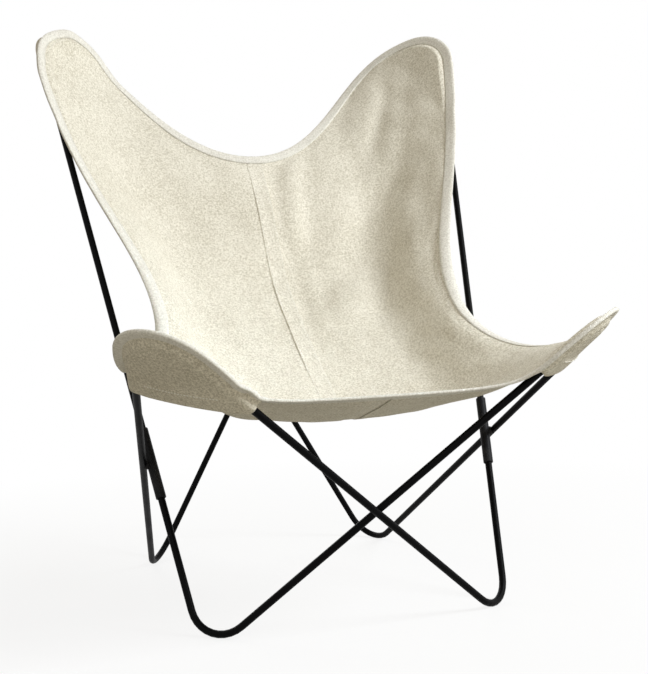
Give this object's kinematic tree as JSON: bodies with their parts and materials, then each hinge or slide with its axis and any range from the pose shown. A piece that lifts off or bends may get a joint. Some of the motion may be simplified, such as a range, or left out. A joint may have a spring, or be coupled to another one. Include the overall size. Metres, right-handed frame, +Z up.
{
  "type": "butterfly sling chair",
  "caption": "Low lounge chair: a canvas sling with a bound edge and middle seam hangs by corner pockets from two bent steel rod loops that cross and plug into welded sleeves.",
  "frame": {"origin": "on the floor, below the middle of the bounding box", "axes": "+Z up, +X to the right of someone looking at the chair from the front, +Y towards the back; the chair faces -Y"},
  "size_m": [0.7342, 0.7922, 0.8993],
  "materials": {
    "rod": "black powder coat, slightly grained, satin",
    "sleeve": "black powder coat on drawn tube, satin",
    "weld": "black powder coat over a rippled weld bead",
    "canvas": "undyed plain-weave cotton duck, matt",
    "binding": "lighter cotton tape folded over the edge, matt, one row of stitches",
    "pocket": "second layer of the same cotton duck, matt"
  },
  "bodies": {
    "root": {"rod_loop_left": "rod", "rod_loop_right": "rod", "sleeve_left": "sleeve", "sleeve_right": "sleeve", "weld_left": "weld", "weld_right": "weld", "sling_panel_left": "canvas", "sling_panel_right": "canvas", "centre_seam": "canvas", "edge_binding": "binding", "pocket_back_left": "pocket", "pocket_back_right": "pocket", "pocket_front_left": "pocket", "pocket_front_right": "pocket"}
  },
  "joints": []
}
